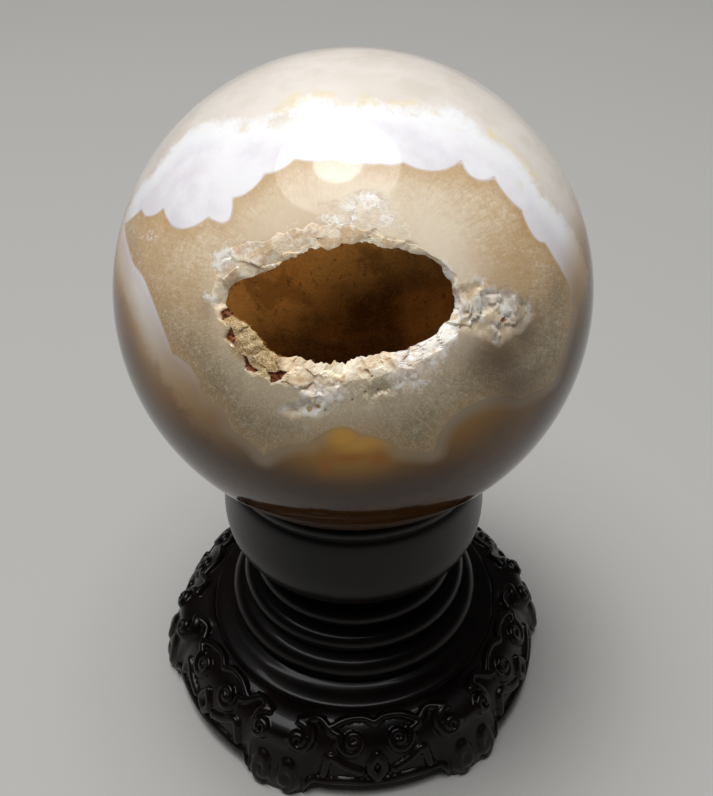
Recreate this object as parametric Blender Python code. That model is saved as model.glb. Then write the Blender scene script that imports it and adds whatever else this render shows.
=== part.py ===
"""An agate geode ball that rests in a carved wooden stand. Metres, +Z up, standing on z = 0.

The ball has a natural hollow whose mouth faces -Y and looks up. A crust of quartz crystals lines it.
"""

import math
import random

import bmesh
import bpy
from mathutils import Vector

# The ball and where it sits
BALL_RADIUS = 0.050
BALL_HEIGHT = 2.3 * BALL_RADIUS
BALL_CENTRE = Vector((0, 0, BALL_HEIGHT))
GAP = 0.0003
BALL_COLUMNS = 40

# The hollow's axis and the two directions across it
MOUTH_ELEVATION = math.radians(31)
OUT = Vector((0, -math.cos(MOUTH_ELEVATION), math.sin(MOUTH_ELEVATION)))
ACROSS = Vector((1, 0, 0))
UPWARD = OUT.cross(ACROSS)

# Angle from the hollow's axis, in degrees, every 22.5 degrees round it from the right, upper side next
MOUTH_EDGE = (24.3, 22.4, 16.2, 13.4, 11.3, 10.9, 11.9, 14.6, 20.2, 16.6, 15.2, 12.2, 11.6, 12.1, 13.6, 19.2)
BROKEN_EDGE = (27.2, 26.0, 19.5, 18.0, 16.6, 15.6, 16.6, 24.0, 26.4, 22.6, 21.4, 17.2, 18.4, 15.4, 18.9, 24.0)
LIP_DEPTH = 0.0018

# Natural dents in the polished face: angle round the axis, angle from it, half-width, all in degrees, and depth
DENTS = ((264, 24.5, 3.6, 0.0014), (300, 20.5, 3.0, 0.0009), (357, 35.5, 5.0, 0.0010), (5, 31.0, 3.5, 0.0008))

# The hollow behind the mouth: an ellipsoid whose front is drawn in to the lip
HOLLOW_DEPTH = 0.58 * BALL_RADIUS
HOLLOW_HALF_WIDTH = 0.52 * BALL_RADIUS
HOLLOW_HALF_HEIGHT = 0.37 * BALL_RADIUS
HOLLOW_BACK = 0.44 * BALL_RADIUS

# The crystal crust
CRYSTALS = 330
CRYSTAL_SEED = 7
CRUST_THICKNESS = 0.0009
CRYSTAL_HEIGHT = (0.0010, 0.0023)
CRYSTAL_LEAN = 0.0005
CRUST_FRONT = 0.34

# The stand
STAND_COLUMNS = 72
FEET = 6
FIRST_FOOT = math.radians(12)
FOOT_HALF_ANGLE = math.radians(7.5)
FOOT_FADE = math.radians(4.5)
SEAT_RADIUS = 0.575 * BALL_RADIUS
UNDERSIDE = 0.0030
LOBES_PER_SIDE = 3
LOBE_DEPTH = 0.0007


def clear_scene():
    for item in list(bpy.data.objects):
        bpy.data.objects.remove(item, do_unlink=True)


def finish(name, colour, roughness, metallic=0.0):
    material = bpy.data.materials.new(name)
    material.use_nodes = True
    shader = material.node_tree.nodes["Principled BSDF"]
    shader.inputs["Base Color"].default_value = (*colour, 1)
    shader.inputs["Roughness"].default_value = roughness
    shader.inputs["Metallic"].default_value = metallic
    return material


def add_object(name, bm, material, smooth_angle=None):
    bmesh.ops.recalc_face_normals(bm, faces=bm.faces)
    mesh = bpy.data.meshes.new(name)
    bm.to_mesh(mesh)
    bm.free()
    mesh.materials.append(material)
    if smooth_angle is not None:
        mesh.shade_smooth()
        mesh.set_sharp_from_angle(angle=smooth_angle)
    obj = bpy.data.objects.new(name, mesh)
    bpy.context.scene.collection.objects.link(obj)
    return obj


def ring_solid(first_pole, rings, last_pole):
    """A closed mesh through rings of equal length, with a fan of triangles at each end."""
    bm = bmesh.new()
    start = bm.verts.new(first_pole)
    loops = [[bm.verts.new(point) for point in ring] for ring in rings]
    end = bm.verts.new(last_pole)
    count = len(loops[0])
    for i in range(count):
        j = (i + 1) % count
        bm.faces.new((start, loops[0][i], loops[0][j]))
        for near, far in zip(loops, loops[1:]):
            bm.faces.new((near[i], far[i], far[j], near[j]))
        bm.faces.new((loops[-1][j], loops[-1][i], end))
    return bm


def closed_curve(values, angle):
    """The value at an angle, in radians, of a smooth closed curve through evenly spaced values."""
    count = len(values)
    place = (angle / math.tau) % 1 * count
    i = int(place)
    t = place - i
    before, here, after, later = (values[(i + k) % count] for k in (-1, 0, 1, 2))
    slope_here = (after - before) / 2
    slope_after = (later - here) / 2
    return (
        (2 * t**3 - 3 * t**2 + 1) * here
        + (t**3 - 2 * t**2 + t) * slope_here
        + (3 * t**2 - 2 * t**3) * after
        + (t**3 - t**2) * slope_after
    )


def smooth(t):
    t = min(max(t, 0), 1)
    return t * t * (3 - 2 * t)


def place(angle, side, depth):
    """A point at a distance sideways from the hollow's axis, and at a depth along it from the ball's centre."""
    return BALL_CENTRE + depth * OUT + side * (math.cos(angle) * ACROSS + math.sin(angle) * UPWARD)


def on_shell(angle, degrees, radius):
    tilt = math.radians(degrees)
    return place(angle, radius * math.sin(tilt), radius * math.cos(tilt))


def dented(point):
    """The point moved inwards where a dent is."""
    outwards = (point - BALL_CENTRE).normalized()
    depth = 0
    for around, off_axis, half_width, deepest in DENTS:
        middle = on_shell(math.radians(around), off_axis, 1) - BALL_CENTRE
        off = outwards.angle(middle) / math.radians(half_width)
        depth += deepest * math.exp(-off * off)
    return point - outwards * depth


def hollow_side(angle):
    """Half the hollow's size across its axis, at its widest."""
    return 1 / math.hypot(
        math.cos(angle) / HOLLOW_HALF_WIDTH, math.sin(angle) / HOLLOW_HALF_HEIGHT
    )


def hollow_wall(angle, step):
    """(sideways, depth) on the hollow's wall: step 0 is the lip, 1 the widest place, 2 the deep end."""
    tilt = math.radians(closed_curve(MOUTH_EDGE, angle))
    lip = BALL_RADIUS - LIP_DEPTH
    lip_side, lip_depth = lip * math.sin(tilt), lip * math.cos(tilt)
    widest = hollow_side(angle)
    if step <= 1:
        side = lip_side + (widest - lip_side) * smooth(step)
        return side, lip_depth + (HOLLOW_DEPTH - lip_depth) * step
    turn = (step - 1) * math.pi / 2
    return widest * math.cos(turn), HOLLOW_DEPTH - HOLLOW_BACK * math.sin(turn)


def agate_ball():
    angles = [math.tau * i / BALL_COLUMNS for i in range(BALL_COLUMNS)]
    polished = (170, 159.5, 149, 140, 130.5, 121, 111, 100.5, 90, 79.5, 69, 59, 49.5, 40, 31)
    rings = [[on_shell(a, s, BALL_RADIUS) for a in angles] for s in polished]
    edge = [closed_curve(BROKEN_EDGE, a) for a in angles]
    rings.append([on_shell(a, (outer + polished[-1]) / 2, BALL_RADIUS) for a, outer in zip(angles, edge)])
    for share, sink in ((0, 0), (0.3, 0.35), (0.7, 0.6), (1, 1)):
        ring = []
        for a, outer in zip(angles, edge):
            degrees = outer + (closed_curve(MOUTH_EDGE, a) - outer) * share
            ring.append(on_shell(a, degrees, BALL_RADIUS - sink * LIP_DEPTH))
        rings.append(ring)
    rings = [[dented(point) for point in ring] for ring in rings]
    for step in (0.25, 0.5, 0.75, 1, 1.17, 1.34, 1.51, 1.68, 1.84):
        rings.append([place(a, *hollow_wall(a, step)) for a in angles])
    back = on_shell(0, 180, BALL_RADIUS)
    deep = place(0, 0, HOLLOW_DEPTH - HOLLOW_BACK)
    material = finish("agate", (0.62, 0.50, 0.36), 0.08)
    return add_object("agate_ball", ring_solid(back, rings, deep), material, math.radians(32))


def spread_directions(count, jitter, source):
    """Directions spread evenly over a sphere, each moved a little."""
    golden = math.pi * (3 - math.sqrt(5))
    found = []
    for i in range(count):
        height = 1 - 2 * (i + 0.5) / count
        around = math.sqrt(1 - height * height)
        d = Vector((math.cos(golden * i) * around, math.sin(golden * i) * around, height))
        d += Vector([source.uniform(-jitter, jitter) for _ in range(3)])
        found.append(d.normalized())
    return found


def hollow_point(direction, inset):
    """The wall's point seen from the hollow's centre, moved towards that centre by the inset."""
    angle = math.atan2(direction.y, direction.x)
    low, high = 0.0, 2.0
    for _ in range(30):
        step = (low + high) / 2
        side, depth = hollow_wall(angle, step)
        ahead = direction.z * side > math.hypot(direction.x, direction.y) * (depth - HOLLOW_DEPTH)
        low, high = (low, step) if ahead else (step, high)
    side, depth = hollow_wall(angle, low)
    centre = BALL_CENTRE + HOLLOW_DEPTH * OUT
    point = place(angle, side, depth)
    return point + (centre - point).normalized() * inset


def crystal_crust():
    source = random.Random(CRYSTAL_SEED)
    directions = spread_directions(CRYSTALS, 0.035, source)
    bm = bmesh.new()
    seeds = [bm.verts.new(d) for d in directions]
    bmesh.ops.convex_hull(bm, input=seeds)
    # The front, round the mouth, stays open
    bmesh.ops.delete(bm, geom=[v for v in bm.verts if v.co.z > CRUST_FRONT], context="VERTS")
    outer_vertices = list(bm.verts)
    copied = bmesh.ops.duplicate(bm, geom=outer_vertices + list(bm.edges) + list(bm.faces))
    inner_vertices = [v for v in copied["geom"] if isinstance(v, bmesh.types.BMVert)]
    inner_faces = [f for f in copied["geom"] if isinstance(f, bmesh.types.BMFace)]
    for vertex in outer_vertices:
        vertex.co = hollow_point(vertex.co, 1.5 * GAP)
    valley = 1.5 * GAP + CRUST_THICKNESS
    for vertex in inner_vertices:
        tall = 0 if vertex.is_boundary else source.uniform(*CRYSTAL_HEIGHT)
        lean = Vector([source.uniform(-CRYSTAL_LEAN, CRYSTAL_LEAN) for _ in range(3)])
        vertex.co = hollow_point(vertex.co, valley + tall) + (lean if tall else Vector())
    inner_edges = [e for e in copied["geom"] if isinstance(e, bmesh.types.BMEdge)]
    turned = [e for e in inner_edges if not e.is_boundary]
    centre = BALL_CENTRE + HOLLOW_DEPTH * OUT
    poked = bmesh.ops.poke(bm, faces=inner_faces)
    for vertex in poked["verts"]:
        local = vertex.co - centre
        direction = Vector((local.dot(ACROSS), local.dot(UPWARD), local.dot(OUT))).normalized()
        vertex.co = hollow_point(direction, valley)
    # Turning each old edge makes every crystal a pyramid with a face towards each neighbour
    bmesh.ops.rotate_edges(bm, edges=[e for e in turned if e.is_valid], use_ccw=True)
    rims = [e for e in bm.edges if e.is_boundary]
    bmesh.ops.bridge_loops(bm, edges=rims)
    bmesh.ops.triangulate(bm, faces=bm.faces)
    material = finish("crust", (0.45, 0.26, 0.08), 0.2)
    return add_object("crystal_crust", bm, material)


def arc(centre_side, centre_height, radius, start, end, points):
    """(radius from the stand's axis, height) along a round moulding, with the angles in degrees."""
    turns = [math.radians(start + (end - start) * i / (points - 1)) for i in range(points)]
    return [(centre_side + radius * math.cos(t), centre_height + radius * math.sin(t)) for t in turns]


def stand_profile():
    """Rows of (radius, height) and the same again under a foot, from the middle of the seat to the underside."""
    dish = BALL_RADIUS + GAP
    seat = [r * SEAT_RADIUS for r in (0.35, 0.7, 1)]
    rows = [(r, BALL_HEIGHT - math.sqrt(dish * dish - r * r)) for r in seat]
    rows += [(0.0302, 0.0743), (0.0312, 0.0733), (0.0311, 0.0715), (0.0303, 0.0702), (0.0315, 0.0640)]
    rows += [(0.0320, 0.0570), (0.0306, 0.0510), (0.0262, 0.0468), (0.0228, 0.0436), (0.0222, 0.0405)]
    rows += arc(0.0234, 0.0368, 0.0024, 75, -75, 3)
    rows += arc(0.0262, 0.0312, 0.0027, 75, -65, 3)
    rows += arc(0.0288, 0.0246, 0.0036, 75, -55, 4)
    rows += [(0.0340, 0.0205), (0.0400, 0.0192), (0.0455, 0.0170)]
    rows = [(r, z, r, z) for r, z in rows]
    rows += [(0.0482, 0.0150, 0.0484, 0.0150), (0.0484, 0.0136, 0.0498, 0.0134)]
    rows += [(0.0470, 0.0122, 0.0504, 0.0112), (0.0476, 0.0090, 0.0488, 0.0072)]
    rows += [(0.0492, 0.0056, 0.0500, 0.0044), (0.0496, 0.0036, 0.0530, 0.0024)]
    rows += [(0.0486, UNDERSIDE, 0.0526, 0), (0.0430, UNDERSIDE, 0.0420, 0)]
    rows += [(0.0415, UNDERSIDE, 0.0405, UNDERSIDE)]
    return rows


def foot_share(angle):
    """1 on a foot, 0 between the feet."""
    pitch = math.tau / FEET
    off = abs((angle - FIRST_FOOT + pitch / 2) % pitch - pitch / 2)
    return smooth((FOOT_HALF_ANGLE + FOOT_FADE - off) / FOOT_FADE)


def wood_stand():
    angles = [FIRST_FOOT + math.tau * i / STAND_COLUMNS for i in range(STAND_COLUMNS)]
    apron_top = 0.0122
    rings = []
    for plain_r, plain_z, foot_r, foot_z in stand_profile():
        ring = []
        for a in angles:
            share = foot_share(a)
            r = plain_r + (foot_r - plain_r) * share
            z = plain_z + (foot_z - plain_z) * share
            if UNDERSIDE < plain_z < apron_top:
                r += (1 - share) * LOBE_DEPTH * math.cos((a - FIRST_FOOT) * FEET * LOBES_PER_SIDE)
            ring.append(Vector((r * math.cos(a), r * math.sin(a), z)))
        rings.append(ring)
    top = Vector((0, 0, BALL_HEIGHT - BALL_RADIUS - GAP))
    bottom = Vector((0, 0, UNDERSIDE))
    material = finish("dark_wood", (0.030, 0.014, 0.010), 0.22)
    return add_object("wood_stand", ring_solid(top, rings, bottom), material, math.radians(35))


clear_scene()
agate_ball()
crystal_crust()
wood_stand()
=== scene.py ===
"""Looks for the agate geode ball on its carved stand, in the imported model's frame. Metres, +Z up."""

import itertools
import math

import bmesh
import bpy
import numpy as np
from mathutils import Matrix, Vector
from mathutils.kdtree import KDTree


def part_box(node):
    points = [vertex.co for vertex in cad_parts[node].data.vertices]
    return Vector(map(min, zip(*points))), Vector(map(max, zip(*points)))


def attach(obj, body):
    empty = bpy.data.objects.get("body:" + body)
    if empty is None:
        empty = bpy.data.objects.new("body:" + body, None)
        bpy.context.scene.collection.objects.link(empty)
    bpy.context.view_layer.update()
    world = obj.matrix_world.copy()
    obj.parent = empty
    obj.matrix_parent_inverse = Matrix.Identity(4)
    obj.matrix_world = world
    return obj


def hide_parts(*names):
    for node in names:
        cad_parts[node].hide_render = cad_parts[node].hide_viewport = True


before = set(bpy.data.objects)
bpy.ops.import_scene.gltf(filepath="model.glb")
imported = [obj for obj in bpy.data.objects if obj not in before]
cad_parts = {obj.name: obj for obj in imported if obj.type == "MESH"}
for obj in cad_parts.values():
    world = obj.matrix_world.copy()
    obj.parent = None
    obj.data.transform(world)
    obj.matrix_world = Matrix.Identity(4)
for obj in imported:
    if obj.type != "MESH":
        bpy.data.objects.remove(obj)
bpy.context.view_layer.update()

# The ball, from the frame
ball_low, ball_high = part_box("agate_ball")
BALL_CENTRE = np.array((ball_low + ball_high) / 2)
BALL_RADIUS = (ball_high.z - ball_low.z) / 2
GAP = 0.0003

# The hollow's axis and the two directions across it
MOUTH_ELEVATION = math.radians(31)
OUT = np.array((0, -math.cos(MOUTH_ELEVATION), math.sin(MOUTH_ELEVATION)))
ACROSS = np.array((1.0, 0, 0))
UPWARD = np.cross(OUT, ACROSS)

# Angle from the hollow's axis, in degrees, every 22.5 degrees round it from the right, upper side next
MOUTH_EDGE = (
    25.2, 22.6, 16.2, 13.4, 11.3, 10.9, 11.9, 14.9, 22.2, 16.8, 15.2, 12.2, 11.6, 12.1, 13.6, 19.2,
)
BROKEN_EDGE = (
    26.0, 23.8, 18.4, 16.4, 16.0, 15.8, 17.6, 24.0, 24.4, 21.4, 21.0, 18.8, 18.2, 15.6, 18.2, 23.2,
)
# How deep the lip lies and how rough the broken rim is, at the same places
LIP_DEPTHS = (1.3, 0.9, 0.6, 0.6, 0.7, 0.7, 0.9, 1.4, 1.6, 1.8, 1.8, 1.8, 1.8, 1.8, 1.6, 1.5)
RIM_RELIEF = (0.9, 0.4, 0.2, 0.2, 0.2, 0.25, 0.32, 0.42, 0.5, 0.6, 0.7, 0.75, 0.75, 0.7, 0.8, 0.9)
HOLLOW_DEPTH = 0.58 * BALL_RADIUS
HOLLOW_HALF_WIDTH = 0.52 * BALL_RADIUS
HOLLOW_HALF_HEIGHT = 0.37 * BALL_RADIUS
HOLLOW_BACK = 0.44 * BALL_RADIUS

# Edges of the agate's bands: angle round the hollow's axis, angle from it, and how far the edge bulges
# towards the hollow on its way to the next point, as a share of that way
INNER_EDGE = (
    (0, 59.5, 0), (7, 56.3, 0.02), (12, 53, 0.02), (18.4, 49.6, 0.12), (20.3, 46.8, 0.08),
    (29, 46, 0.1), (41, 44.2, 0.34), (51, 40.3, 0.19), (66, 31.7, 0.1), (73.3, 29.4, 0.05),
    (80, 28.4, 0.05), (93, 28.8, 0.08), (107.4, 29.9, 0.12), (120.6, 29.5, 0.16),
    (136.5, 29.5, 0.56), (148.5, 31.3, 0.26), (154.9, 45, 0.2), (158.5, 54.4, 0.06), (164, 64, 0),
    (173, 50, 0.06), (178, 43.5, 0.03), (200, 37.6, 0.2), (218, 35.2, 0.22), (233, 35.8, 0.1),
    (247, 37.6, 0.1), (262, 29.6, 0.05), (270, 25.8, 0.2), (284, 27, 0.08), (297, 34, 0),
    (305.5, 39.3, 0.2), (330, 38.5, 0.1), (334.5, 48, 0), (342, 58, 0),
)
OUTER_EDGE = (
    (0, 70, 0), (9, 67, 0), (16, 62.5, 0), (26, 56.5, 0), (34, 54, 0), (41, 53.5, 0), (47, 51.4, 0),
    (55, 51.8, 0), (60, 52, 0), (66, 48.5, 0), (75, 45, 0), (83, 43, 0), (90, 43, 0), (96, 45, 0),
    (103, 45, 0), (114, 43, 0), (119, 44, 0), (124, 47, 0), (131, 51, 0), (136, 55.5, 0),
    (144, 56, 0), (152, 59, 0), (160, 66, 0), (170, 66, 0), (176, 60.5, 0), (181, 54, 0),
    (184, 49, 0), (192, 47, 0), (200, 44.5, 0), (212, 42.8, 0), (225, 42.5, 0), (240, 44, 0),
    (270, 52, 0), (300, 52, 0), (330, 56, 0), (345, 64, 0),
)
# How white the band is, every 22.5 degrees round the axis; where it isn't, it is a milky brown
WHITENESS = (0.42, 0.94, 1, 1, 1, 1, 1, 1, 0.72, 0.6, 0.5, 0.34, 0.06, 0, 0.06, 0.14)

# Spots: angle round the axis, angle from it, half-width round and half-width outwards, and strength
SUGAR_SPOTS = (
    (75, 18.8, 24, 2.4, 1), (80, 16.4, 26, 1.6, 1.1), (48, 20, 7, 1.6, 0.8), (71, 21.6, 12, 2.6, 1.1),
    (58, 20.5, 9, 2.2, 0.9), (160, 23.5, 9, 3.0, 1.1), (150, 20.5, 7, 2.6, 0.8),
    (180, 25.0, 4, 3.0, 0.8), (358, 24, 22, 2.4, 1.5), (5, 30, 7, 4, 0.7), (164, 46, 3, 7, 0.55),
    (14, 23, 10, 2.6, 1.3), (335, 20.5, 28, 4.6, 1.7), (268, 17.5, 20, 2.6, 1.4),
    (120, 16.4, 8, 1.4, 0.6),
)
# Outlines of other broken patches: beside the hollow, and a small one below it
PATCHES = (
    (
        (4.9, 22.7), (11.2, 25.7), (11.8, 30.2), (8, 34.5), (5.5, 38), (3.3, 42.6), (359, 44),
        (355, 42), (352.5, 38.5), (348.5, 36.1), (350, 32), (352.0, 28.2), (351, 25.5),
    ),
    (
        (245.5, 24.4), (248.5, 22.0), (251.7, 20.8), (257, 19.2), (264, 18.2), (268.9, 19.6),
        (270.4, 21.4), (266, 22.2), (263.8, 23.3), (258, 23.0), (253, 24.6),
    ),
)
PALE_SPOTS = ((30, 25, 34, 8, 1), (70, 20, 30, 7, 0.9), (0, 27, 20, 6, 0.8), (120, 19, 24, 4, 0.5))
CREAM_SPOTS = ((268, 12.6, 36, 2.0, 1), (242, 14.8, 12, 2.0, 0.9), (352, 35.4, 1.6, 0.7, 0.9))
# Outlines of brown chips; the last is a paler stain in the right patch, and isn't sunk
RUST_CHIPS = (
    ((183.5, 21.5), (187.1, 22.9), (191.5, 22.6), (188.2, 20.7)),
    ((195.7, 20.8), (200.1, 22.7), (205.8, 21.4), (203.2, 20.7)),
    ((212.5, 20.5), (218.7, 21.8), (224.0, 21.3), (224.3, 20.0), (219.1, 20.7), (214.4, 20.2)),
    ((229.1, 18.6), (234.9, 19.8), (238.2, 18.2), (239.1, 16.1), (235.0, 16.7), (233.2, 17.7)),
    ((356.9, 34.8), (355.8, 36.2), (357.4, 37.6), (357.9, 36.4)),
)
GOLD_SPOTS = (
    (190, 19.8, 9, 3.4, 1), (222, 17.4, 14, 3.8, 1.1), (205, 19.2, 14, 3.6, 1.1),
    (260, 21.6, 1.8, 0.7, 1), (265, 20.6, 1.6, 0.6, 1),
)
AMBER_SPOTS = ((277, 27.5, 9, 3.8, 1.1), (283, 30, 15, 3.8, 0.95), (279, 32, 20, 7, 0.5))
ORANGE_SPOTS = ((278, 33.2, 8.5, 1.5, 1), (269, 34.8, 2.8, 3.2, 0.9), (288, 34.6, 4.4, 2.8, 0.8))
# Spots of painted shade, mostly on the ball's lower sides and in and below the patch right of the hollow
PAINTED_SHADE_SPOTS = (
    (326, 50, 12, 8, 0.7), (344, 37, 10, 9, 1.0), (353, 42, 8, 5, 0.9), (338, 44, 8, 9, 0.9),
    (185, 26, 6, 2, 0.3), (347, 66, 15, 7, 0.75), (203, 57, 16, 7, 0.6), (232, 52, 14, 6, 0.7),
    (2, 74, 8, 6, 0.6),
)
CRUMBLY_SPOTS = ((298, 18, 15, 2.8, 1), (272, 21, 10, 1.6, 0.6))
DARK_PITS = (
    (302.4, 16.1, 1.6, 0.35), (282.1, 16.4, 1.4, 0.3), (301.3, 19.1, 2.0, 0.4), (293.8, 18.3, 1.6, 0.35),
    (284.7, 19.2, 1.4, 0.3), (313.9, 20.5, 1.4, 0.3), (306.5, 17.8, 1.6, 0.3), (290, 20.6, 1.6, 0.3),
)
# One dent below the hollow: where it is, its half-width in degrees and its depth
DENT_ROUND, DENT_OFF_AXIS = 300, 20.5
DENT_HALF_WIDTH, DENT_DEPTH = 3.0, 0.0002

# Facets of broken crystal: how many near the hollow, how steep at most, and their seed
LARGE_FACETS = (900, 0.36, 71)
SMALL_FACETS = (6000, 0.22, 72)
PLATE_FACETS = (1700, 0.5, 73)
FACETS_WITHIN = 46
ROUGH_WAVELENGTH, ROUGH_SEED, ROUGH_LAYERS = 0.0034, 21, 4
CHIP_DEPTH = 0.0005
PIT_DEPTH = 0.0003
STAIN_OFF_AXIS = 30

# Rings of the ball's mesh, by their angle off the hollow's axis
FIRST_RING, LAST_BACK_RING, FIRST_FRONT_RING = 179, 61, 60
BALL_COLUMNS = 360
POLISHED_RINGS = (72, 92)
BROKEN_RINGS = 34
HOLLOW_RINGS = 38
CRYSTALS = 15000
CRUST_FRONT = 0.20
CRYSTAL_SEED = 11


def hashed(cells, seed):
    """A value from -1 to 1 for each cell of an integer lattice."""
    n = cells[..., 0] * 374761393 + cells[..., 1] * 668265263
    n += cells[..., 2] * 1442695041 + seed * 97531357
    n = (n ^ (n >> 13)) * 1274126177
    n = n ^ (n >> 16)
    return (n & 0xFFFFF) / 0x7FFFF - 1


def value_noise(points, wavelength, seed):
    place_in_lattice = points / wavelength
    cells = np.floor(place_in_lattice).astype(np.int64)
    t = place_in_lattice - cells
    t = t * t * (3 - 2 * t)
    total = np.zeros(len(points))
    for corner in itertools.product((0, 1), repeat=3):
        weight = np.prod(np.where(corner, t, 1 - t), axis=1)
        total += weight * hashed(cells + np.array(corner), seed)
    return total


def layered_noise(points, wavelength, seed, layers=3):
    parts = [value_noise(points, wavelength / 2**i, seed + i) / 1.7**i for i in range(layers)]
    return sum(parts) / sum(1 / 1.7**i for i in range(layers))


def facets(points, count, steepness, seed):
    """Heights of flat, tilted faces that meet along sharp edges, as on broken crystal."""
    source = np.random.default_rng(seed)
    depth = 1 - math.cos(math.radians(FACETS_WITHIN))
    off_axis = np.degrees(np.arccos(1 - source.uniform(0, 1, count) * depth))
    middles = on_shell(source.uniform(0, math.tau, count), off_axis, BALL_RADIUS)
    slopes = source.uniform(-steepness, steepness, (count, 3))
    tree = KDTree(count)
    for i, middle in enumerate(middles):
        tree.insert(middle, i)
    tree.balance()
    nearest = np.array([tree.find(point)[1] for point in points])
    return ((points - middles[nearest]) * slopes[nearest]).sum(1)


def smooth(t):
    t = np.clip(t, 0, 1)
    return t * t * (3 - 2 * t)


def closed_curve(values, angle):
    """A smooth closed curve through evenly spaced values, at angles in radians."""
    values = np.array(values, float)
    count = len(values)
    spot = np.asarray(angle) / math.tau % 1 * count
    i = spot.astype(int)
    t = spot - i
    before, here, after, later = (values[(i + k) % count] for k in (-1, 0, 1, 2))
    return (
        (2 * t**3 - 3 * t**2 + 1) * here
        + (t**3 - 2 * t**2 + t) * (after - before) / 2
        + (3 * t**2 - 2 * t**3) * after
        + (t**3 - t**2) * (later - here) / 2
    )


def on_plane(around, off_axis):
    """The ball's face laid flat about the hollow's axis, in degrees from the middle."""
    return np.stack([off_axis * np.cos(around), off_axis * np.sin(around)], -1)


def outline(edge, points_each=9):
    """A closed outline on the laid-out face, with each stretch bulging to its left by the share given."""
    corners = [on_plane(math.radians(a), s) for a, s, _ in edge]
    found = []
    for i, (_, _, bulge) in enumerate(edge):
        start, way = corners[i], corners[(i + 1) % len(edge)] - corners[i]
        left = np.array((-way[1], way[0]))
        t = np.arange(points_each)[:, None] / points_each
        found.append(start + way * t + left * bulge * np.sin(math.pi * t) ** 0.8)
    return np.concatenate(found)


def past_outlines(flat, outlines):
    """Distance to the nearest of some small outlines of (angle round, off axis), negative inside one."""
    polygons = [np.array([on_plane(math.radians(a), s) for a, s in corners]) for corners in outlines]
    return np.min([signed_distance(flat, polygon) for polygon in polygons], axis=0)


def signed_distance(points, polygon):
    """Distance to a closed polygon, positive outside it, in the same units as the points."""
    starts = polygon
    ways = np.roll(polygon, -1, axis=0) - polygon
    lengths = (ways**2).sum(1)
    result = np.empty(len(points))
    for first in range(0, len(points), 4000):
        p = points[first : first + 4000, None]
        offset = p - starts
        share = np.clip((offset * ways).sum(-1) / lengths, 0, 1)
        near = np.sqrt(((offset - share[..., None] * ways) ** 2).sum(-1)).min(1)
        above = (starts[:, 1] > p[..., 1]) != ((starts + ways)[:, 1] > p[..., 1])
        rise = np.where(ways[:, 1] == 0, 1, ways[:, 1])
        crossing = starts[:, 0] + (p[..., 1] - starts[:, 1]) / rise * ways[:, 0]
        inside = (above & (p[..., 0] < crossing)).sum(1) % 2 == 1
        result[first : first + 4000] = np.where(inside, -near, near)
    return result


def spot_strength(spots, around, off_axis):
    """The strongest of some soft-edged spots at each place, angles in degrees."""
    result = np.zeros(len(around))
    for a, s, half_round, half_out, strength in spots:
        turn = (around - a + 180) % 360 - 180
        off = (turn / half_round) ** 2 + ((off_axis - s) / half_out) ** 2
        result = np.maximum(result, strength * np.exp(-off))
    return result


def place(angle, side, depth):
    """Points at distances sideways from the hollow's axis and along it from the ball's centre."""
    sideways = np.cos(angle)[:, None] * ACROSS + np.sin(angle)[:, None] * UPWARD
    return BALL_CENTRE + np.asarray(depth)[:, None] * OUT + np.asarray(side)[:, None] * sideways


def on_shell(angle, degrees, radius):
    tilt = np.radians(degrees)
    return place(angle, radius * np.sin(tilt), radius * np.cos(tilt))


def ragged(angle, seed, coarse, fine):
    """Uneven steps, in degrees, along a broken edge."""
    circle = np.stack([np.cos(angle), np.sin(angle), np.zeros(len(angle))], 1)
    return coarse * value_noise(circle, 0.13, seed) + fine * value_noise(circle, 0.045, seed + 1)


def mouth_edge(angle):
    return closed_curve(MOUTH_EDGE, angle) + ragged(angle, 3, 0.7, 0.35)


def broken_edge(angle):
    return closed_curve(BROKEN_EDGE, angle) + ragged(angle, 9, 0.9, 0.45)


def lip_depth_at(angle):
    return closed_curve(LIP_DEPTHS, angle) / 1000


def hollow_wall(angle, step):
    """(sideways, depth) on the hollow's wall: step 0 is the lip, 1 the widest place, 2 the deep end."""
    tilt = np.radians(mouth_edge(angle))
    lip = BALL_RADIUS - lip_depth_at(angle)
    lip_side, lip_depth = lip * np.sin(tilt), lip * np.cos(tilt)
    widest = 1 / np.hypot(np.cos(angle) / HOLLOW_HALF_WIDTH, np.sin(angle) / HOLLOW_HALF_HEIGHT)
    turn = np.clip(step - 1, 0, 1) * math.pi / 2
    front = step <= 1
    side = np.where(front, lip_side + (widest - lip_side) * smooth(step), widest * np.cos(turn))
    depth = np.where(
        front,
        lip_depth + (HOLLOW_DEPTH - lip_depth) * np.clip(step, 0, 1),
        HOLLOW_DEPTH - HOLLOW_BACK * np.sin(turn),
    )
    return side, depth


def make_mesh(name, points, faces, smooth_faces=True):
    mesh = bpy.data.meshes.new(name)
    mesh.from_pydata(points.tolist(), [], faces.tolist() if isinstance(faces, np.ndarray) else faces)
    mesh.polygons.foreach_set("use_smooth", [smooth_faces] * len(mesh.polygons))
    mesh.update()
    obj = bpy.data.objects.new(name, mesh)
    bpy.context.scene.collection.objects.link(obj)
    return obj


def ring_faces(rings, columns):
    """Faces of rings of points, with a pole before the first ring and one after the last."""
    start, end = rings * columns, rings * columns + 1
    i = np.arange(columns)
    j = (i + 1) % columns
    quads = []
    for ring in range(rings - 1):
        near, far = ring * columns, (ring + 1) * columns
        quads.append(np.stack([near + i, near + j, far + j, far + i], 1))
    last = (rings - 1) * columns
    faces = np.concatenate(quads).tolist()
    faces += [[start, int(b), int(a)] for a, b in zip(i, j)]
    faces += [[end, int(last + a), int(last + b)] for a, b in zip(i, j)]
    return faces


def add_numbers(obj, name, values):
    field = obj.data.attributes.new(name, "FLOAT", "POINT")
    field.data.foreach_set("value", np.asarray(values, np.float32))


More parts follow.
